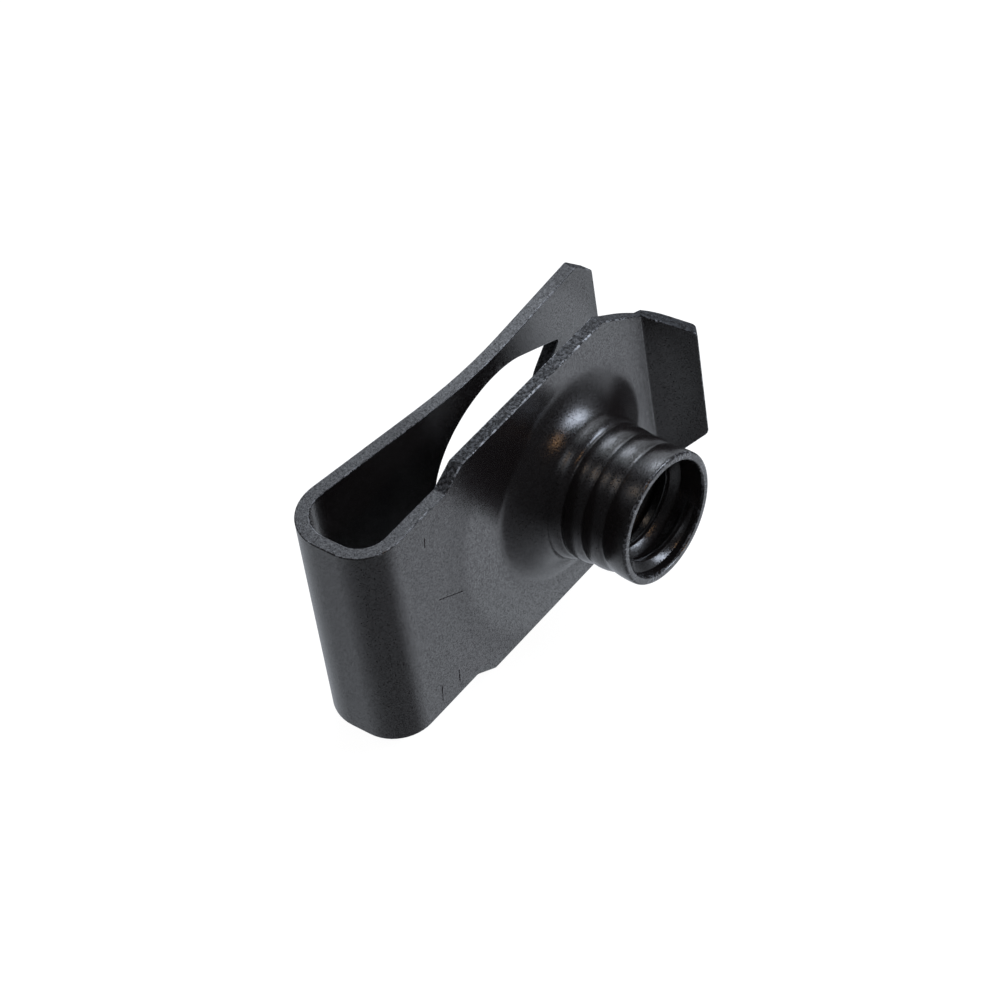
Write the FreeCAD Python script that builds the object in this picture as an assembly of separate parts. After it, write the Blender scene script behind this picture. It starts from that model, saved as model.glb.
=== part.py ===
"""Clip-on barrel nut: one strip of spring steel, folded into a U, with a threaded barrel drawn from one leg.

Frame: +X runs from the fold to the open tips, the barrel points along -Y, +Z is across the strip.
The origin is where the thread axis crosses the plane of the barrel's rim. The shape is drawn with the
plate's outer face at y = 0, and the finished nut is moved so that the rim is there instead.
"""
import FreeCAD
import Part
import math
import os

V = FreeCAD.Vector

# Strip
strip_t = 0.77           # sheet thickness
plate_width = 15.0       # front leg, where the barrel is drawn
neck_width = 13.4        # fold and back leg

# Side profile, measured on the outside of the strip
fold_reach = 15.45       # thread axis to the outside of the fold
fold_height = 6.25       # outside height of the fold, where the back leg leaves it
fold_front_r = 2.25      # outside corner beside the plate
fold_rear_r = 2.75       # outside corner beside the back leg
back_close_deg = 8.9     # back leg leans towards the plate
back_open_deg = 3.1      # and opens again past the bend
back_bend_x = -2.0       # where the two straight stretches would meet
back_bend_r = 31.0
back_reach = 8.85        # thread axis to the tip of the back leg

# Flared tip of the front leg
crease_x = 7.2
crease_r = 0.25          # sharp inside corner of the crease
crease_back_r = 4.0      # the sheet thins there, so its far side bends more gently
flare_deg = 47.6
flare_length = 2.8

# Outline seen square to each leg
shoulder_x = -7.83       # plate has its full width from here on
shoulder_run = 1.38      # length over which the neck widens to the plate
shoulder_r = 0.35
taper_x = 4.2            # start of the tapered nose
taper_deg = 33.7
nose_corner_r = 0.45
back_chamfer = 1.3
back_corner_r = 0.3

# Drawn barrel
barrel_height = 6.23     # from the outer face of the plate to the rim
thread_major_r = 3.175   # quarter-inch thread
barrel_wall = 0.585      # from the bore to the crest of the ridge nearest the base
barrel_narrowing = 0.07  # each further ridge is this much smaller in radius
ridge_pitch = 1.27       # the ridges follow the thread, 20 to the inch
ridge_depth = 0.105
ridge_run_out = 0.03     # crown of the last ridge, which widens into the rim
rim_wall = 0.515         # from the bore to the outside of the rim
rim_round = 0.18
mouth_chamfer = 0.12

# Raised base of the barrel, hollow like the bell of a trumpet
base_r = 5.75            # where it leaves the plate
base_foot_r = 0.8        # hollow foot
base_slope_deg = 45.0    # slope of the flank above the foot
neck_r = 1.3             # hollow that turns the flank towards the barrel
neck_turn_deg = 33.0
collar_step = 0.24       # the base ends in a small collar, wider than the first ridge by this
collar_length = 0.485
collar_crown = 0.06
funnel_r = 2.0           # rounding between the funnel and the bore

# Clearance hole in the back leg, round behind the barrel, with straight sides towards the tip
hole_r = 5.45
hole_x = -0.28
hole_side_deg = 25.0     # the straight sides close in towards the tip
hole_tail_x = 5.15       # where they would end
tongue_end_x = 3.3       # rounded tongue that points back into the hole
tongue_end_half = 1.75
tongue_side_deg = 40.0
tongue_end_r = 1.5

clear = 2.0              # envelopes and cutters stand past the sheet by this much


def corner_arc(before, corner, after, radius):
    """Start, middle and end of the arc that rounds a corner."""
    a = (before - corner).normalize()
    b = (after - corner).normalize()
    half = a.getAngle(b) / 2
    bisector = (a + b).normalize()
    reach = radius / math.tan(half)
    middle = corner + bisector * (radius / math.sin(half) - radius)
    return corner + a * reach, middle, corner + b * reach


def rounded_path(points, radii):
    """Edges of an open path whose inner corners are rounded."""
    edges = []
    here = points[0]
    for i in range(1, len(points) - 1):
        start, middle, end = corner_arc(points[i - 1], points[i], points[i + 1], radii[i - 1])
        edges.append(Part.LineSegment(here, start).toShape())
        edges.append(Part.Arc(start, middle, end).toShape())
        here = end
    edges.append(Part.LineSegment(here, points[-1]).toShape())
    return edges


def offset_points(points, distance):
    """The path moved sideways, to the right of its direction of travel."""
    normals = []
    for a, b in zip(points, points[1:]):
        d = (b - a).normalize()
        normals.append(V(d.y, -d.x, 0))
    moved = [points[0] + normals[0] * distance]
    for n1, n2, p in zip(normals, normals[1:], points[1:]):
        moved.append(p + (n1 + n2) * (distance / (1 + n1.dot(n2))))
    moved.append(points[-1] + normals[-1] * distance)
    return moved


def direction(degrees):
    a = math.radians(degrees)
    return V(math.cos(a), math.sin(a), 0)


def outer_points():
    """Corners of the strip's outer surface, from the flared tip round the fold to the back tip."""
    crease = V(crease_x, 0, 0)
    tip = crease + direction(-flare_deg) * flare_length
    front_corner = V(-fold_reach, 0, 0)
    rear_corner = V(-fold_reach, fold_height + fold_rear_r * math.tan(math.radians(back_close_deg)), 0)
    bend = rear_corner + V(1, -math.tan(math.radians(back_close_deg)), 0) * (back_bend_x + fold_reach)
    back_tip = bend + V(1, math.tan(math.radians(back_open_deg)), 0) * (back_reach - back_bend_x)
    return [tip, crease, front_corner, rear_corner, bend, back_tip]


def folded_strip():
    """The bent sheet at its full width, before its outline is trimmed."""
    outer = outer_points()
    inner = offset_points(outer, strip_t)
    outer_radii = [crease_r, fold_front_r, fold_rear_r, back_bend_r]
    inner_radii = [crease_back_r, fold_front_r - strip_t, fold_rear_r - strip_t, back_bend_r + strip_t]
    edges = rounded_path(outer, outer_radii)
    edges.append(Part.LineSegment(outer[-1], inner[-1]).toShape())
    edges += rounded_path(inner, inner_radii)
    edges.append(Part.LineSegment(inner[0], outer[0]).toShape())
    face = Part.Face(Part.Wire(Part.__sortEdges__(edges)))
    face.translate(V(0, 0, -plate_width / 2))
    return face.extrude(V(0, 0, plate_width))


def outline_prism(upper, radii, depth):
    """Prism over an outline that is symmetric about the X axis; upper lists its half from left to right.

    It stands on the XY plane and rises by depth.
    """
    lower = [V(p.x, -p.y, 0) for p in reversed(upper)]
    points = upper + lower
    corner_radii = radii + list(reversed(radii))
    count = len(points)
    arcs = []
    for i in range(count):
        r = corner_radii[i]
        p = points[i]
        if r > 0:
            arcs.append(corner_arc(points[i - 1], p, points[(i + 1) % count], r))
        else:
            arcs.append((p, None, p))
    edges = []
    for i in range(count):
        start, middle, end = arcs[i]
        if middle is not None:
            edges.append(Part.Arc(start, middle, end).toShape())
        edges.append(Part.LineSegment(end, arcs[(i + 1) % count][0]).toShape())
    return Part.Face(Part.Wire(edges)).extrude(V(0, 0, depth))


def stood_across(prism, top_y):
    """A prism that rises from the XY plane, turned so that it stands across the sheet and ends at top_y."""
    prism.rotate(V(0, 0, 0), V(1, 0, 0), 90)
    prism.translate(V(0, top_y, 0))
    return prism


def nose_half_width(distance):
    """Half width of the front leg at a distance along the sheet from the start of its taper."""
    return plate_width / 2 - distance * math.tan(math.radians(taper_deg))


def front_envelope(split_y):
    """Everything within the outline of the neck, the plate and its tapered nose, up to the crease."""
    neck = neck_width / 2
    plate = plate_width / 2
    upper = [
        V(-fold_reach - clear, neck, 0),
        V(shoulder_x - shoulder_run, neck, 0),
        V(shoulder_x, plate, 0),
        V(taper_x, plate, 0),
        V(crease_x, nose_half_width(crease_x - taper_x), 0),
    ]
    radii = [0, shoulder_r, shoulder_r, 0, 0]
    return stood_across(outline_prism(upper, radii, split_y + flare_length), split_y)


def flare_envelope():
    """Everything within the outline of the flared lip, square to its sheet, past the crease."""
    run = crease_x - taper_x
    upper = [V(0, nose_half_width(run), 0), V(flare_length, nose_half_width(run + flare_length), 0)]
    lip = stood_across(outline_prism(upper, [0, nose_corner_r], 2 * clear), clear)
    lip.rotate(V(0, 0, 0), V(0, 0, 1), -flare_deg)
    lip.translate(V(crease_x, 0, 0))
    return lip


def bend_envelope():
    """The wedge on the outside of the crease, between the plate and the flared lip."""
    half = nose_half_width(crease_x - taper_x)
    crease = V(crease_x, 0, -half)
    corners = [crease, crease + direction(90 - flare_deg) * clear, crease + V(0, clear, 0), crease]
    return Part.Face(Part.makePolygon(corners)).extrude(V(0, 0, 2 * half))


def back_envelope(split_y):
    """Everything within the outline of the back leg."""
    neck = neck_width / 2
    upper = [
        V(-fold_reach - clear, neck, 0),
        V(back_reach - back_chamfer, neck, 0),
        V(back_reach, neck - back_chamfer, 0),
    ]
    top = fold_height + clear
    return stood_across(outline_prism(upper, [0, back_corner_r, back_corner_r], top - split_y), top)


def arc_about(centre, radius, from_deg, to_deg):
    """Circular arc in the section plane, given by its centre and end angles."""
    middle = (from_deg + to_deg) / 2
    return Part.Arc(
        centre + direction(from_deg) * radius,
        centre + direction(middle) * radius,
        centre + direction(to_deg) * radius,
    ).toShape()


def crowned(start, end, rise):
    """Arc from start to end that swells outwards by rise over its chord."""
    return Part.Arc(start, (start + end) * 0.5 + V(rise, 0, 0), end).toShape()


def foot_centre():
    return V(base_r, -base_foot_r, 0)


def groove_r(i):
    """Radius of the groove above ridge i, counted from the base."""
    crest_r = thread_major_r + barrel_wall
    return crest_r - ridge_depth - barrel_narrowing * (i - 0.5)


def base_edges():
    """Outside of the raised base, from the plate to the collar, and the point where the collar begins."""
    slope_end = 90 + base_slope_deg
    neck_end = slope_end + neck_turn_deg
    collar_r = thread_major_r + barrel_wall + collar_step
    foot_end = foot_centre() + direction(slope_end) * base_foot_r
    flank_end_r = collar_r + (direction(slope_end).x - direction(neck_end).x) * neck_r
    flank = direction(slope_end + 90)
    flank_end = foot_end + flank * ((flank_end_r - foot_end.x) / flank.x)
    neck_centre = flank_end - direction(slope_end) * neck_r
    edges = [
        arc_about(foot_centre(), base_foot_r, 90, slope_end),
        Part.LineSegment(foot_end, flank_end).toShape(),
        arc_about(neck_centre, neck_r, slope_end, neck_end),
    ]
    return edges, neck_centre + direction(neck_end) * neck_r


def outer_section():
    """Outside of the base and the barrel, down to the rim; x is the radius and y the depth."""
    edges, collar = base_edges()
    here = V(groove_r(0), collar.y - collar_length, 0)
    edges.append(crowned(collar, here, collar_crown))
    rim = V(thread_major_r + rim_wall, -barrel_height + rim_round, 0)
    ridges = int((here.y - rim.y) / ridge_pitch)
    for i in range(1, ridges):
        end = V(groove_r(i), here.y - ridge_pitch, 0)
        edges.append(crowned(here, end, ridge_depth))
        here = end
    edges.append(crowned(here, rim, ridge_run_out))
    centre = rim - V(rim_round, 0, 0)
    edges.append(arc_about(centre, rim_round, 0, -90))
    return edges, centre - V(0, rim_round, 0)


def inner_section():
    """Inside of the base and the barrel, from the inner face of the plate down the funnel and the bore."""
    slope_end = 90 + base_slope_deg
    entry_r = base_foot_r + strip_t
    knee = foot_centre() + direction(slope_end) * entry_r
    funnel = direction(slope_end + 90)
    throat = knee + funnel * ((thread_major_r - knee.x) / funnel.x)
    bore_end = V(thread_major_r, -barrel_height + mouth_chamfer, 0)
    lip = V(thread_major_r + mouth_chamfer, -barrel_height, 0)
    edges = [arc_about(foot_centre(), entry_r, 90, slope_end)]
    edges += rounded_path([knee, throat, bore_end], [funnel_r])
    edges.append(Part.LineSegment(bore_end, lip).toShape())
    return edges, V(base_r, strip_t, 0), lip


def drawn_barrel():
    """The raised base, the ridged barrel and its bore as one turned ring."""
    outer, rim = outer_section()
    inner, mouth, lip = inner_section()
    edges = outer + inner
    edges.append(Part.LineSegment(rim, lip).toShape())
    edges.append(Part.LineSegment(mouth, V(base_r, 0, 0)).toShape())
    section = Part.Face(Part.Wire(Part.__sortEdges__(edges)))
    return section.revolve(V(0, 0, 0), V(0, 1, 0), 360)


def drill(radius, x, from_y, to_y):
    return Part.makeCylinder(radius, to_y - from_y, V(x, from_y, 0), V(0, 1, 0))


def clearance_hole(from_y, to_y):
    """Cutter for the hole: round, with two straight sides that close in, less the tongue."""
    depth = to_y - from_y
    side = math.radians(hole_side_deg)
    tangent = V(hole_x + hole_r * math.sin(side), hole_r * math.cos(side), 0)
    tail_end = V(hole_tail_x, tangent.y - (hole_tail_x - tangent.x) * math.tan(side), 0)
    tail = stood_across(outline_prism([tangent, tail_end], [0, 0], depth), to_y)
    root_x = hole_tail_x + strip_t
    root_half = tongue_end_half + (root_x - tongue_end_x) * math.tan(math.radians(tongue_side_deg))
    tip = V(tongue_end_x, tongue_end_half, 0)
    tongue = outline_prism([tip, V(root_x, root_half, 0)], [tongue_end_r, 0], depth)
    opening = drill(hole_r, hole_x, from_y, to_y).fuse(tail)
    return opening.cut(stood_across(tongue, to_y))


def clip_nut():
    gap_middle = fold_height / 2
    envelope = front_envelope(gap_middle).fuse([bend_envelope(), flare_envelope(), back_envelope(gap_middle)])
    sheet = folded_strip().common(envelope)
    sheet = sheet.cut(drill(base_r, 0, -strip_t, 2 * strip_t))
    sheet = sheet.cut(clearance_hole(gap_middle, fold_height + strip_t))
    nut = sheet.fuse(drawn_barrel()).removeSplitter()
    nut = nut.Solids[0] if len(nut.Solids) == 1 else nut
    nut.translate(V(0, barrel_height, 0))
    return nut


def main():
    os.makedirs("parts", exist_ok=True)
    nut = clip_nut()
    print("solids", len(nut.Solids), "valid", nut.isValid(), "volume mm3", round(nut.Volume, 1))
    box = nut.BoundBox
    print("box", [round(v, 2) for v in (box.XMin, box.XMax, box.YMin, box.YMax, box.ZMin, box.ZMax)])
    nut.exportStep("parts/barrel_clip_nut.step")


main()
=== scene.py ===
import bpy
import math
from functools import reduce
from mathutils import Matrix, Vector


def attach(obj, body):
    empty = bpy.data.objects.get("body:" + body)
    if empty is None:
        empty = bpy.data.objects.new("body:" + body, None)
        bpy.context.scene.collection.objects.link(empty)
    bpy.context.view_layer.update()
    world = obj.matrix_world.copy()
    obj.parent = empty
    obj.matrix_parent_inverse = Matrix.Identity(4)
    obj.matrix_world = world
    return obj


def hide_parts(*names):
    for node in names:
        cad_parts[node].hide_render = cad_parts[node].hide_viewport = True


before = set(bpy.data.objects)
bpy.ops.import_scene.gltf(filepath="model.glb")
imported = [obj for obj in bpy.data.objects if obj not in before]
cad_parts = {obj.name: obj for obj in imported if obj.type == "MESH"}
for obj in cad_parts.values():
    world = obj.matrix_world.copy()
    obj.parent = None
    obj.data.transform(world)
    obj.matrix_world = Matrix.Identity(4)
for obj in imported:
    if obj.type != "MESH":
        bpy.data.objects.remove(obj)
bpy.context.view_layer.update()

MM = 0.001

# Sheet, in millimetres: the thread axis is Y, and the rim of the barrel lies at y = 0
PLATE_FACE = 6.23        # outer face of the plate
SHEET = 0.77
PLATE_HALF = 7.5
FLARE_DEG = 47.6
EDGE_ROUND = 0.07        # how far the rumbled edges are rounded
EDGE_STEPS = 4
SHARP_DEG = 50           # an edge that turns more than this was sheared and is rounded
SHADE_DEG = 35           # an edge that turns more than this stays a crease in the shading
MERGE = 0.001            # corners nearer than this are one corner
NEAR = 0.02              # a ring of corners lies this near to the plate's face
FLAT_DEG = 0.6           # facets of the solid's mesh that turn less than this are one face
PLANE_DEG = 0.05         # the same for the triangles that close the plate round the base

# Where the faces of the strip lie, in millimetres
BACK_LEG_Y = 9           # beyond this a face belongs to the back leg
BEHIND_PLATE_Y = 7.1     # beyond this nothing belongs to the base
BACK_TIP_X = 8.4
HOLE_X = (-6, 5.4)       # reach of the clearance hole
FOLD_X = -9.5            # below this a face belongs to the fold
NECK_X = -10
SHOULDER_X = -2          # from here to the tips of both legs, the upper edges get bare-metal colour as wear and as a painted highlight
UPPER_Z = 7
BASE_CLEAR_R = 6.0       # the solid's own base and barrel lie within this radius
STRIP_R = 6.5            # the strip's sheared edges lie beyond this radius

# Barrel
BORE_R = 3.175
CREST_WALL = 0.585       # from the bore to the crest of the first ridge
RIDGE_STEP = 0.07        # each further ridge is this much smaller in radius
RIDGE_DEPTH = 0.105
RIDGES = 3
RUN_OUT = 0.05           # the last ridge widens into the rim
PITCH = 1.27
RIM_R = 3.69
RIM_ROUND = 0.18
MOUTH_CHAMFER = 0.12
BARREL_STEPS = 160

# Base of the barrel, hollow like the bell of a trumpet: (radius of the arc, slope at its end)
BASE_R = 6.14
BELL = ((1.3, 22.0), (3.3, 55.0), (1.0, 80.0))
BELL_STEP_DEG = 2.5
COLLAR_LENGTH = 0.525
COLLAR_CROWN = 0.045

# Inside of the base and the bore
KNEE_R = 5.75
FOOT_R = 0.8
SLOPE_DEG = 45.0
FUNNEL_R = 2.0

# Thread: half of its profile as (distance from the axis, distance from the middle of the crest)
THREAD_ROOT_R = BORE_R + 0.08
THREAD_HALF = ((THREAD_ROOT_R, 0.5), (2.67, 0.18), (2.62, 0.08))
THREAD_START = 0.6
THREAD_LENGTH = 3.6
THREAD_STEPS = 96        # to a turn, rounded up to whole turns
THREAD_RUN_OUT = 40      # steps over which either end fades into the bore

# Share of bare-metal colour, as wear and, on the upper edges and faces, also as a painted highlight of the
# lit top: on an upper edge, on the other edges, on upper sheared faces, on the rim
TOP_EDGE_WEAR_AND_HIGHLIGHT = 1.0
OTHER_EDGE = 0.35
TOP_FACE_WEAR_AND_HIGHLIGHT = 0.14
RIM_WEAR = 0.3
RIM_WEAR_Y = 0.13        # the rim is worn down to here
ROUNDING_AREA = 0.5      # square millimetres: a facet of a rounding is smaller than this
FOLD_CUT = 0.4           # the fold's sheared faces take only this share of the sheared look

# Painted sheen round the base, standing in for bright and dull bands of the plate's reflection: (from radius,
# to radius, factor before, factor after), multiplied together
PAINTED_SHEEN_RINGS = ((5.9, 6.8, 1.0, 1.28), (8.2, 9.2, 1.0, 0.66), (9.6, 10.8, 1.0, 1.18))

# Grooves that handling left in the coating
SCRATCHES = (
    # start and end on the plate's outer face as x and z, half width
    ((-11.04, 0.65), (-9.24, -0.33), 0.035),
    ((-11.28, 5.37), (-11.33, 4.77), 0.04),
    ((-11.96, -4.97), (-12.08, -5.93), 0.05),
    ((-10.55, -5.08), (-10.62, -5.86), 0.045),
)

FILM_IOR = 1.62          # cured black coating

# Paper of the floor: strength of its glow, and how much of what the camera sees of it is glow
PAPER_GLOW = 1.2
PAPER_SHARE = 0.8

# Light tent: azimuth is counted from +X towards +Y, angles in degrees
ROOM_LIGHT = 0.07
FLOOR_GLOW = 0.38
GLOW_FALL = (-0.34, -0.87)   # the glow under the floor rises between these heights of a unit direction
CARDS = (
    # azimuth, elevation, inner and outer angle, strength
    (-37, -38, 6, 42, 0.76),
    (108, -46, 0, 62, 0.34),
    (-40, 22, 5, 30, 0.45),
    (30, 42, 10, 38, 1.0),
    (-5, 57, 5, 28, 1.0),
    (35, 3, 12, 34, 0.6),
    (120, 55, 5, 22, 0.35),
    (-150, 68, 5, 20, 0.8),
)
LAMPS = (
    # name, azimuth, elevation, distance, width, height, power, colour
    ("window", -47, 31, 0.5, 0.26, 0.13, 1.05, "#e4eeff"),
    ("rear softbox", 33, 46, 0.5, 0.2, 0.2, 0.4, "#eaf2ff"),
    ("warm lamp left", -85, 36, 0.6, 0.05, 0.05, 0.14, "#ffc890"),
    ("warm lamp above", -178, 72, 0.6, 0.04, 0.04, 0.06, "#ffdcb4"),
    ("warm lamp behind", 118, 56, 0.6, 0.05, 0.05, 0.05, "#ffe4c8"),
)

# Camera, fitted to the photo: degrees, then millimetres
CAMERA_TURN = (-46.047, 44.792, -9.482)   # azimuth from -Y towards +X, elevation, roll
CAMERA_PLACE = (219.308, 3.634, 1.285)    # distance from the plate's middle, shift right, shift up
CAMERA_LENS = 152.02
CAMERA_SENSOR = 36


def deselect():
    if bpy.context.object and bpy.context.object.mode != "OBJECT":
        bpy.ops.object.mode_set(mode="OBJECT")
    bpy.ops.object.select_all(action="DESELECT")


def pick(piece):
    """Makes one object the only one selected."""
    deselect()
    piece.select_set(True)
    bpy.context.view_layer.objects.active = piece


def edit(kind="VERT"):
    bpy.ops.object.mode_set(mode="EDIT")
    bpy.ops.mesh.select_mode(type=kind)


def leave_edit():
    bpy.ops.object.mode_set(mode="OBJECT")


def select_only(piece, kind, test):
    """Leaves exactly the vertices, edges or faces that pass the test selected, in edit mode."""
    edit(kind)
    bpy.ops.mesh.select_all(action="DESELECT")
    leave_edit()
    parts = {"VERT": piece.data.vertices, "EDGE": piece.data.edges, "FACE": piece.data.polygons}[kind]
    for part in parts:
        part.select = bool(test(part))
    bpy.ops.object.mode_set(mode="EDIT")


def on_arc(centre, radius, from_deg, to_deg, count):
    """Points along an arc of the turned section; x is the distance from the axis."""
    points = []
    for i in range(count + 1):
        a = math.radians(from_deg + (to_deg - from_deg) * i / count)
        points.append((centre[0] + radius * math.cos(a), centre[1] + radius * math.sin(a)))
    return points


def crowned(start, end, rise, count):
    """Points of the arc from start to end that swells outwards by rise over its chord; start is left out."""
    middle = ((start[0] + end[0]) / 2, (start[1] + end[1]) / 2)
    half = math.dist(start, end) / 2
    radius = (half * half + rise * rise) / (2 * rise)
    along = math.atan2(end[1] - start[1], end[0] - start[0])
    # The chord runs down the barrel, so the outside lies to its left
    outward = along + math.pi / 2
    inset = rise - radius
    centre = (middle[0] + inset * math.cos(outward), middle[1] + inset * math.sin(outward))
    half_turn = math.degrees(math.asin(half / radius))
    here = math.degrees(outward)
    return on_arc(centre, radius, here + half_turn, here - half_turn, count)[1:]


def base_points():
    """Outside of the base: hollow arcs, each steeper than the last, from the plate down to the collar."""
    points = [(BASE_R, PLATE_FACE)]
    slope = 0.0
    for radius, end_slope in BELL:
        x, y = points[-1]
        a = math.radians(90 + slope)
        centre = (x - radius * math.cos(a), y - radius * math.sin(a))
        steps = max(6, round((end_slope - slope) / BELL_STEP_DEG))
        points += on_arc(centre, radius, 90 + slope, 90 + end_slope, steps)[1:]
        slope = end_slope
    return points


def eased(points, passes):
    """Cuts every corner of the line again and again, so that the valleys between the ridges turn round."""
    for _ in range(passes):
        cut = [points[0]]
        for (ax, ay), (bx, by) in zip(points, points[1:]):
            cut.append((ax * 0.75 + bx * 0.25, ay * 0.75 + by * 0.25))
            cut.append((ax * 0.25 + bx * 0.75, ay * 0.25 + by * 0.75))
        points = cut + [points[-1]]
    return points


def outer_section():
    """Outside of the base and the barrel, from the plate down to the rim; x is the distance from the axis."""
    base = base_points()
    collar = base[-1]
    here = (BORE_R + CREST_WALL - RIDGE_DEPTH + RIDGE_STEP / 2, collar[1] - COLLAR_LENGTH)
    outline = [collar] + crowned(collar, here, COLLAR_CROWN, 3)
    for i in range(1, RIDGES):
        end = (here[0] - RIDGE_STEP, here[1] - PITCH)
        outline += crowned(here, end, RIDGE_DEPTH, 6)
        here = end
    outline += crowned(here, (RIM_R, RIM_ROUND), RUN_OUT, 6)
    lip = on_arc((RIM_R - RIM_ROUND, RIM_ROUND), RIM_ROUND, 0, -90, 6)
    return base[:-1] + eased(outline, 2) + lip[1:]


def inner_section():
    """Inside of the barrel and the base, from the rim up the bore and the funnel to the plate."""
    knee = on_arc((KNEE_R, PLATE_FACE - FOOT_R), FOOT_R + SHEET, 90 + SLOPE_DEG, 90, 8)
    drop = (knee[0][0] - BORE_R) * math.tan(math.radians(SLOPE_DEG))
    throat_y = knee[0][1] - drop - FUNNEL_R * math.tan(math.radians(45 - SLOPE_DEG / 2))
    throat = on_arc((BORE_R + FUNNEL_R, throat_y), FUNNEL_R, 180, 90 + SLOPE_DEG, 9)
    return [(BORE_R + MOUTH_CHAMFER, 0.0), (BORE_R, MOUTH_CHAMFER)] + throat + knee


def drawn_line(name, points):
    """A line of vertices, drawn by pulling one vertex from point to point in the half plane x > 0, z = 0."""
    deselect()
    x, y = points[0]
    bpy.ops.mesh.primitive_plane_add(size=MM, location=(x * MM, y * MM, 0))
    piece = bpy.context.object
    piece.name = name
    edit()
    bpy.ops.mesh.merge(type="CENTER")
    for (ax, ay), (bx, by) in zip(points, points[1:]):
        step = ((bx - ax) * MM, (by - ay) * MM, 0)
        bpy.ops.mesh.extrude_region_move(TRANSFORM_OT_translate={"value": step})
    leave_edit()
    bpy.ops.object.transform_apply(location=True, rotation=True, scale=True)
    return piece


def turned_barrel():
    """The barrel and its base as one turned wall, open where it meets the plate's two faces."""
    piece = drawn_line("barrel_wall", outer_section() + inner_section())
    edit()
    bpy.ops.mesh.select_all(action="SELECT")
    bpy.ops.mesh.spin(steps=BARREL_STEPS, angle=math.tau, center=(0, 0, 0), axis=(0, 1, 0))
    bpy.ops.mesh.select_all(action="SELECT")
    bpy.ops.mesh.remove_doubles(threshold=2 * MERGE * MM)
    leave_edit()
    return piece


def sheet_copy():
    """The bent sheet of the clip without its barrel, with its cut faces marked and its edges rounded."""
    source = bpy.data.objects["barrel_clip_nut"]
    pick(source)
    bpy.ops.object.duplicate()
    sheet = bpy.context.object
    sheet.name = "coated_clip"
    edit()
    bpy.ops.mesh.select_all(action="SELECT")
    bpy.ops.mesh.remove_doubles(threshold=MERGE * MM)
    bpy.ops.mesh.select_all(action="SELECT")
    bpy.ops.mesh.dissolve_limited(angle_limit=math.radians(FLAT_DEG), use_dissolve_boundaries=False)
    leave_edit()
    mark_cut_faces(sheet)
    round_edges(sheet)
    mark_wear_and_highlight(sheet)

    def in_barrel(v):
        within = math.hypot(v.co.x, v.co.z) < BASE_CLEAR_R * MM
        return within and v.co.y < (PLATE_FACE + SHEET + NEAR) * MM

    select_only(sheet, "VERT", in_barrel)
    bpy.ops.mesh.delete(type="VERT")
    leave_edit()
    return sheet


def mark_cut_faces(sheet):
    """Face attribute: how far a face shows sheared metal, which is on the strip's edges and in the hole."""
    lean = math.radians(FLARE_DEG)
    along_flare = Vector((math.cos(lean), -math.sin(lean), 0))
    layer = sheet.data.attributes.new("cut_face", "FLOAT", "FACE")
    for face in sheet.data.polygons:
        n = face.normal
        x = face.center.x / MM
        y = face.center.y / MM
        across = abs(n.z) > 0.02
        back_tip = x > BACK_TIP_X and n.x > 0.9 and y > BACK_LEG_Y
        lip = n.dot(along_flare) > 0.95 and y < PLATE_FACE
        hole = abs(n.x) > 0.5 and HOLE_X[0] < x < HOLE_X[1] and y > BACK_LEG_Y
        if across or back_tip or lip or hole:
            layer.data[face.index].value = FOLD_CUT if x < FOLD_X else 1.0


def round_edges(sheet):
    """Rounds every sharp edge of the strip and leaves the facets of the roundings selected."""
    mesh = sheet.data
    vertices = mesh.vertices
    normals = {}
    for face in mesh.polygons:
        for key in face.edge_keys:
            normals.setdefault(key, []).append(face.normal.copy())

    def of_strip(vertex):
        beyond_base = math.hypot(vertex.co.x, vertex.co.z) > STRIP_R * MM
        return beyond_base or vertex.co.y > BEHIND_PLATE_Y * MM

    def sharp(edge):
        if not all(of_strip(vertices[v]) for v in edge.vertices):
            return False
        pair = normals.get(tuple(sorted(edge.vertices)), [])
        return len(pair) == 2 and pair[0].angle(pair[1]) > math.radians(SHARP_DEG)

    select_only(sheet, "EDGE", sharp)
    # The facets along a hole are shorter than the rounding, so its width isn't held back by them
    bpy.ops.mesh.bevel(offset=EDGE_ROUND * MM, segments=EDGE_STEPS, affect="EDGES", clamp_overlap=False)
    leave_edit()
    # Where three roundings meet, the corner swells by some microns: it is held to the plate's width
    for vertex in sheet.data.vertices:
        vertex.co.z = max(-PLATE_HALF * MM, min(PLATE_HALF * MM, vertex.co.z))


def mark_wear_and_highlight(sheet):
    """Face attribute: how far the roundings and the upper sheared faces show bare-metal colour, as wear, and
    on the upper edges and faces also as a painted highlight.
    """
    layer = sheet.data.attributes.new("edge_wear_and_highlight", "FLOAT", "FACE")
    cut = sheet.data.attributes["cut_face"]
    for face in sheet.data.polygons:
        x, y, z = (c / MM for c in face.center)
        # Upper edges and faces: wear, and a painted highlight where the light falls from above
        worn_and_lit_top = z > UPPER_Z and x > NECK_X and y < PLATE_FACE + SHEET
        if face.select and face.area < ROUNDING_AREA * MM * MM:
            near_tip = z > UPPER_Z and x > SHOULDER_X
            layer.data[face.index].value = TOP_EDGE_WEAR_AND_HIGHLIGHT if worn_and_lit_top or near_tip else OTHER_EDGE
        elif worn_and_lit_top and cut.data[face.index].value > 0.5:
            layer.data[face.index].value = TOP_FACE_WEAR_AND_HIGHLIGHT


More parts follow.
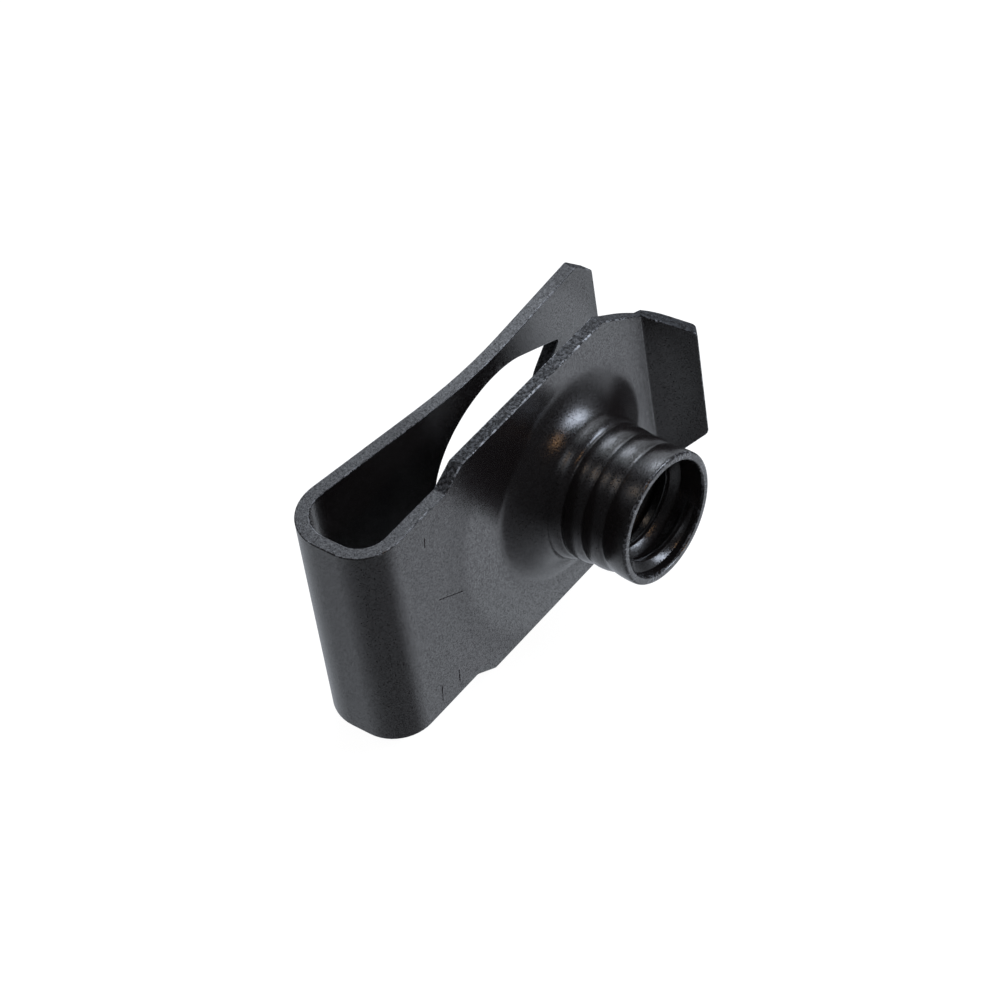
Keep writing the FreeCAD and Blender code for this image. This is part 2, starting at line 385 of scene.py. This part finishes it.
def clip_body():
    """The whole clip as one closed surface: the bent sheet with the turned barrel joined into its plate."""
    sheet = sheet_copy()
    barrel = turned_barrel()
    barrel.data.attributes.new("cut_face", "FLOAT", "FACE")
    wear = barrel.data.attributes.new("edge_wear_and_highlight", "FLOAT", "FACE")
    for face in barrel.data.polygons:
        wear.data[face.index].value = RIM_WEAR if face.center.y < RIM_WEAR_Y * MM else 0.0
    deselect()
    barrel.select_set(True)
    sheet.select_set(True)
    bpy.context.view_layer.objects.active = sheet
    bpy.ops.object.join()
    for height in (PLATE_FACE, PLATE_FACE + SHEET):
        bridge_ring(sheet, height)
    edit()
    bpy.ops.mesh.select_all(action="SELECT")
    bpy.ops.mesh.dissolve_limited(angle_limit=math.radians(PLANE_DEG), use_dissolve_boundaries=False)
    bpy.ops.mesh.select_all(action="SELECT")
    bpy.ops.mesh.normals_make_consistent(inside=False)
    leave_edit()
    return sheet


def bridge_ring(piece, height):
    """Joins the barrel's ring to the plate's round opening on one face of the plate."""
    faces_of = {}
    for face in piece.data.polygons:
        for key in face.edge_keys:
            faces_of[key] = faces_of.get(key, 0) + 1
    vertices = piece.data.vertices

    def open_edge(edge):
        key = tuple(sorted(edge.vertices))
        here = all(abs(vertices[v].co.y - height * MM) < NEAR * MM for v in key)
        return faces_of.get(key, 0) == 1 and here

    select_only(piece, "EDGE", open_edge)
    bpy.ops.mesh.fill(use_beauty=True)
    leave_edit()


def shade(piece):
    """Smooth shading that lets wide flat faces stay flat beside their roundings."""
    pick(piece)
    bpy.ops.object.shade_smooth_by_angle(angle=math.radians(SHADE_DEG))
    weighted = piece.modifiers.new("even", "WEIGHTED_NORMAL")
    weighted.keep_sharp = True
    weighted.weight = 50
    bpy.ops.object.modifier_apply(modifier=weighted.name)


def thread():
    """The screw thread: one ridge wound round the inside of the bore, its two ends run out to nothing."""
    points = [(r, THREAD_START - y) for r, y in THREAD_HALF]
    points += [(r, THREAD_START + y) for r, y in reversed(THREAD_HALF)]
    piece = drawn_line("thread_ridge", points)
    edit()
    bpy.ops.mesh.select_all(action="SELECT")
    bpy.ops.mesh.edge_face_add()
    bpy.ops.mesh.delete(type="ONLY_FACE")
    leave_edit()
    profile_count = len(piece.data.vertices)
    steps = THREAD_STEPS * math.ceil(THREAD_LENGTH / PITCH)
    winding = piece.modifiers.new("winding", "SCREW")
    winding.axis = "Y"
    winding.angle = math.tau * THREAD_LENGTH / PITCH
    winding.screw_offset = THREAD_LENGTH * MM
    winding.steps = steps
    winding.render_steps = steps
    pick(piece)
    bpy.ops.object.modifier_apply(modifier=winding.name)
    root_r = THREAD_ROOT_R * MM
    for i, vertex in enumerate(piece.data.vertices):
        step = i // profile_count
        height = max(0.0, min(1.0, step / THREAD_RUN_OUT, (steps - step) / THREAD_RUN_OUT))
        radius = math.hypot(vertex.co.x, vertex.co.z)
        wanted = root_r + (radius - root_r) * height
        vertex.co.x *= wanted / radius
        vertex.co.z *= wanted / radius
    edit()
    bpy.ops.mesh.select_all(action="DESELECT")
    bpy.ops.mesh.select_non_manifold()
    bpy.ops.mesh.edge_face_add()
    bpy.ops.mesh.select_all(action="SELECT")
    bpy.ops.mesh.normals_make_consistent(inside=False)
    leave_edit()
    return piece


def hex_colour(code):
    """sRGB hex to the linear values that a shader works in."""
    channels = [int(code[i:i + 2], 16) / 255 for i in (1, 3, 5)]
    linear = [c / 12.92 if c <= 0.04045 else ((c + 0.055) / 1.055) ** 2.4 for c in channels]
    return (*linear, 1.0)


def add(tree, kind, settings=None, links=None):
    """One node: settings go to its properties or sockets, links are (socket, node, output) triples."""
    node = tree.nodes.new(kind)
    for key, value in (settings or {}).items():
        if isinstance(key, str) and hasattr(node, key):
            setattr(node, key, value)
        else:
            node.inputs[key].default_value = value
    for socket, source, output in links or []:
        tree.links.new(source.outputs[output], node.inputs[socket])
    return node


def new_material(name):
    material = bpy.data.materials.new(name)
    material.use_nodes = True
    tree = material.node_tree
    tree.nodes.clear()
    return material, tree


def maths(tree, operation, first, second):
    """Two results put together by one operation; each is a node whose first output counts, or a number."""
    node = add(tree, "ShaderNodeMath", {"operation": operation})
    for socket, part in enumerate((first, second)):
        if isinstance(part, float):
            node.inputs[socket].default_value = part
        else:
            tree.links.new(part.outputs[0], node.inputs[socket])
    return node


def ramp(tree, source, output, start, end, low=0.0, high=1.0, kind="LINEAR"):
    """Turns a value between start and end into one between low and high."""
    settings = {
        "interpolation_type": kind, "From Min": start, "From Max": end, "To Min": low, "To Max": high,
    }
    return add(tree, "ShaderNodeMapRange", settings, [("Value", source, output)])


def noise(tree, place, per_metre, detail, roughness):
    """A solid noise; the scale counts its grains in a metre."""
    settings = {"Scale": per_metre, "Detail": detail, "Roughness": roughness}
    return add(tree, "ShaderNodeTexNoise", settings, [("Vector", place, "Object")])


def two_tones(tree, share, output, first, second):
    """First where the share is 0, second where it is 1; each is a hex colour or a node that gives one."""
    node = add(tree, "ShaderNodeMix", {"data_type": "RGBA"}, [(0, share, output)])
    for socket, tone in ((6, first), (7, second)):
        if isinstance(tone, str):
            node.inputs[socket].default_value = hex_colour(tone)
        else:
            tree.links.new(tone.outputs[2], node.inputs[socket])
    return node


def scratch(tree, place, start, end, half_width):
    """Mask of one groove: full on the line from start to end on the plate's face, gone beside it."""
    a = Vector((start[0], PLATE_FACE, start[1])) * MM
    b = Vector((end[0], PLATE_FACE, end[1])) * MM
    length = (b - a).length
    along = (b - a) / length
    vector = "ShaderNodeVectorMath"
    offset = add(tree, vector, {"operation": "SUBTRACT", 1: a}, [(0, place, "Object")])
    run = add(tree, vector, {"operation": "DOT_PRODUCT", 1: along}, [(0, offset, 0)])
    held = add(tree, "ShaderNodeClamp", {"Max": length}, [("Value", run, "Value")])
    nearest = add(tree, vector, {"operation": "SCALE", 0: along}, [("Scale", held, 0)])
    apart = add(tree, vector, {"operation": "DISTANCE"}, [(0, offset, 0), (1, nearest, 0)])
    return ramp(tree, apart, "Value", half_width * MM, 0.3 * half_width * MM)


def painted_sheen_rings(tree, place):
    """Factor on the sheen: painted sheen, bright round the base with a dull ring outside, standing in for
    bands of the plate's reflection.
    """
    parts = add(tree, "ShaderNodeSeparateXYZ", None, [("Vector", place, "Object")])
    flat = add(tree, "ShaderNodeCombineXYZ", None, [("X", parts, "X"), ("Z", parts, "Z")])
    radius = add(tree, "ShaderNodeVectorMath", {"operation": "LENGTH"}, [(0, flat, "Vector")])
    steps = [
        ramp(tree, radius, "Value", start * MM, end * MM, before, after, "SMOOTHSTEP")
        for start, end, before, after in PAINTED_SHEEN_RINGS
    ]
    return reduce(lambda total, part: maths(tree, "MULTIPLY", total, part), steps)


def coated_spring_steel():
    """Phosphated spring steel under black electrocoat: near black, satin gloss, a fine orange-peel grain.

    The sheared faces are grey, matt and torn in specks; the rumbled edges show bare metal in places, and on
    the upper edges the same light colour is also a painted highlight.
    """
    material, tree = new_material("black electrocoat on spring steel")
    place = add(tree, "ShaderNodeTexCoord")
    # Orange peel of the coating, about 0.07 mm: speckles the highlights and the broad faces
    grain = noise(tree, place, 15000, 2, 0.7)
    # Torn crystals of the sheared faces, about 0.2 mm: light and dark specks
    tear = noise(tree, place, 5200, 3, 0.65)
    # Stretches of about 1 mm in which an edge has been rubbed more or less
    patches = noise(tree, place, 900, 4, 0.6)
    cut = add(tree, "ShaderNodeAttribute", {"attribute_name": "cut_face"})
    wear_and_highlight = add(tree, "ShaderNodeAttribute", {"attribute_name": "edge_wear_and_highlight"})

    torn = ramp(tree, tear, "Fac", 0.36, 0.64)
    sheared = two_tones(tree, torn, "Result", "#0c0b0b", "#323438")
    film = two_tones(tree, cut, "Fac", "#191616", sheared)
    bare = ramp(tree, tear, "Fac", 0.46, 0.58)
    spread = ramp(tree, patches, "Fac", 0.42, 0.6, 0.15)
    broken = maths(tree, "MULTIPLY", bare, spread)
    mask = add(tree, "ShaderNodeMath", {"operation": "MULTIPLY"}, [(0, wear_and_highlight, "Fac"), (1, broken, 0)])
    # Bare metal where worn; on the upper edges and faces this light colour is also a painted highlight
    colour = two_tones(tree, mask, "Value", film, "#c4c8ce")

    # Satin film, and a matt sheared face
    gloss = ramp(tree, grain, "Fac", 0.35, 0.65, 0.14, 0.27)
    rough_settings = {"data_type": "FLOAT", 3: 0.6}
    rough = add(tree, "ShaderNodeMix", rough_settings, [(0, cut, "Fac"), (2, gloss, "Result")])

    # Sheen of the film: uneven with the grain, painted brighter round the base with a painted dull ring
    # outside, broken by grooves and tears
    marks = reduce(
        lambda total, groove: maths(tree, "MAXIMUM", total, groove),
        [scratch(tree, place, *values) for values in SCRATCHES],
    )
    peel = ramp(tree, grain, "Fac", 0.35, 0.65, 0.1, 0.9)
    # Painted sheen rings: brighter next to the base, duller in a ring farther out
    ringed_sheen = maths(tree, "MULTIPLY", peel, painted_sheen_rings(tree, place))
    ground = ramp(tree, tear, "Fac", 0.38, 0.62, 0.38, 0.82)
    dull = ramp(tree, cut, "Fac", 0.0, 1.0, 1.0)
    tree.links.new(ground.outputs["Result"], dull.inputs["To Max"])
    sheen = maths(tree, "MULTIPLY", ringed_sheen, dull)
    lost = maths(tree, "MULTIPLY", marks, -0.6)
    polish = maths(tree, "ADD", lost, sheen)

    # Relief: grooves cut through the peel, and pits on the sheared faces
    depth = maths(tree, "MULTIPLY", marks, -2.5)
    relief = maths(tree, "ADD", depth, grain)
    bump_settings = {"Strength": 0.6, "Distance": 0.01 * MM}
    bump = add(tree, "ShaderNodeBump", bump_settings, [("Height", relief, "Value")])
    pit_links = [("Strength", cut, "Fac"), ("Height", tear, "Fac"), ("Normal", bump, "Normal")]
    pitted = add(tree, "ShaderNodeBump", {"Distance": 0.06 * MM}, pit_links)

    links = [
        ("Base Color", colour, 2),
        ("Roughness", rough, 0),
        ("Specular IOR Level", polish, "Value"),
        ("Normal", pitted, "Normal"),
    ]
    shader = add(tree, "ShaderNodeBsdfPrincipled", {"IOR": FILM_IOR, "Metallic": 0.0}, links)
    add(tree, "ShaderNodeOutputMaterial", None, [("Surface", shader, "BSDF")])
    return material


def floor_material():
    """Matt white studio paper, mostly lit from behind where it is seen directly, so its shadow is faint.

    A gloss sees the light tent under the paper and not the paper itself.
    """
    material, tree = new_material("matt white paper")
    paper_settings = {"Base Color": hex_colour("#f8f8f8"), "Roughness": 0.9}
    paper = add(tree, "ShaderNodeBsdfPrincipled", paper_settings)
    white = add(tree, "ShaderNodeEmission", {"Strength": PAPER_GLOW})
    clear = add(tree, "ShaderNodeBsdfTransparent")
    ray = add(tree, "ShaderNodeLightPath")
    share_settings = {"operation": "MULTIPLY", 1: PAPER_SHARE}
    share = add(tree, "ShaderNodeMath", share_settings, [(0, ray, "Is Camera Ray")])
    seen_links = [(0, share, "Value"), (1, paper, "BSDF"), (2, white, "Emission")]
    seen = add(tree, "ShaderNodeMixShader", None, seen_links)
    mixed_links = [(0, ray, "Is Glossy Ray"), (1, seen, "Shader"), (2, clear, "BSDF")]
    mixed = add(tree, "ShaderNodeMixShader", None, mixed_links)
    add(tree, "ShaderNodeOutputMaterial", None, [("Surface", mixed, "Shader")])
    return material


def studio_floor():
    """A wide sheet of paper that the clip stands on with its lower edges."""
    deselect()
    bpy.ops.mesh.primitive_plane_add(size=6, location=(0, 0, -PLATE_HALF * MM))
    floor = bpy.context.object
    floor.name = "studio_floor"
    floor.data.materials.append(floor_material())


def towards(azimuth, elevation):
    """Unit direction; azimuth is counted from +X towards +Y."""
    a, e = math.radians(azimuth), math.radians(elevation)
    return Vector((math.cos(a) * math.cos(e), math.sin(a) * math.cos(e), math.sin(e)))


def lamp(name, azimuth, elevation, distance, width, height, power, colour):
    """A soft lamp that faces the object; azimuth is counted from +X towards +Y."""
    place = towards(azimuth, elevation) * distance
    deselect()
    bpy.ops.object.light_add(type="AREA", location=place)
    light = bpy.context.object
    light.name = name
    light.data.shape = "ELLIPSE"
    light.data.size = width
    light.data.size_y = height
    light.data.energy = power
    light.data.color = hex_colour(colour)[:3]
    light.rotation_euler = (-place).to_track_quat("-Z", "Y").to_euler()


def card(tree, place, azimuth, elevation, inner, outer, strength):
    """A soft round reflector of the light tent: full within the inner angle, gone at the outer one."""
    facing_settings = {"operation": "DOT_PRODUCT", 1: towards(azimuth, elevation)}
    facing = add(tree, "ShaderNodeVectorMath", facing_settings, [(0, place, "Generated")])
    edge, full = math.cos(math.radians(outer)), math.cos(math.radians(inner))
    return ramp(tree, facing, "Value", edge, full, 0.0, strength, "SMOOTHSTEP")


def studio():
    """A dark room with a glow under the floor, soft reflectors and five soft lamps."""
    world = bpy.data.worlds.new("studio")
    bpy.context.scene.world = world
    world.use_nodes = True
    tree = world.node_tree
    tree.nodes.clear()
    place = add(tree, "ShaderNodeTexCoord")
    height = add(tree, "ShaderNodeSeparateXYZ", None, [("Vector", place, "Generated")])
    glow = ramp(tree, height, "Z", *GLOW_FALL, ROOM_LIGHT, ROOM_LIGHT + FLOOR_GLOW)
    parts = [glow] + [card(tree, place, *values) for values in CARDS]
    total = reduce(lambda sum_so_far, part: maths(tree, "ADD", sum_so_far, part), parts)
    tint = {"Color": hex_colour("#f0f6ff")}
    light = add(tree, "ShaderNodeBackground", tint, [("Strength", total, 0)])
    add(tree, "ShaderNodeOutputWorld", None, [("Surface", light, "Background")])
    for values in LAMPS:
        lamp(*values)


def camera():
    """The photograph's view, found from the edges and corners of the clip."""
    azimuth, elevation, roll = map(math.radians, CAMERA_TURN)
    distance, right_shift, up_shift = CAMERA_PLACE
    flat = math.cos(elevation)
    back = Vector((math.sin(azimuth) * flat, -math.cos(azimuth) * flat, math.sin(elevation)))
    right = (-back).cross(Vector((0, 0, 1))).normalized()
    up = right.cross(-back)
    turned_right = right * math.cos(roll) + up * math.sin(roll)
    turned_up = up * math.cos(roll) - right * math.sin(roll)
    right, up = turned_right, turned_up
    aim = Vector((0, PLATE_FACE, 0))
    place = back * distance - right * right_shift - up * up_shift + aim
    data = bpy.data.cameras.new("camera")
    data.lens = CAMERA_LENS
    data.sensor_width = CAMERA_SENSOR
    data.clip_start = 0.01
    data.clip_end = 20
    view = bpy.data.objects.new("camera", data)
    bpy.context.scene.collection.objects.link(view)
    turn = Matrix((right, up, back)).transposed().to_4x4()
    view.matrix_world = Matrix.Translation(place * MM) @ turn
    bpy.context.scene.camera = view


def main():
    scene = bpy.context.scene
    scene.view_settings.view_transform = "Standard"
    steel = coated_spring_steel()
    body = clip_body()
    shade(body)
    ridge = thread()
    shade(ridge)
    for piece in (body, ridge):
        piece.data.materials.clear()
        piece.data.materials.append(steel)
        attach(piece, "root")
    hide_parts("barrel_clip_nut")
    studio_floor()
    studio()
    camera()


main()
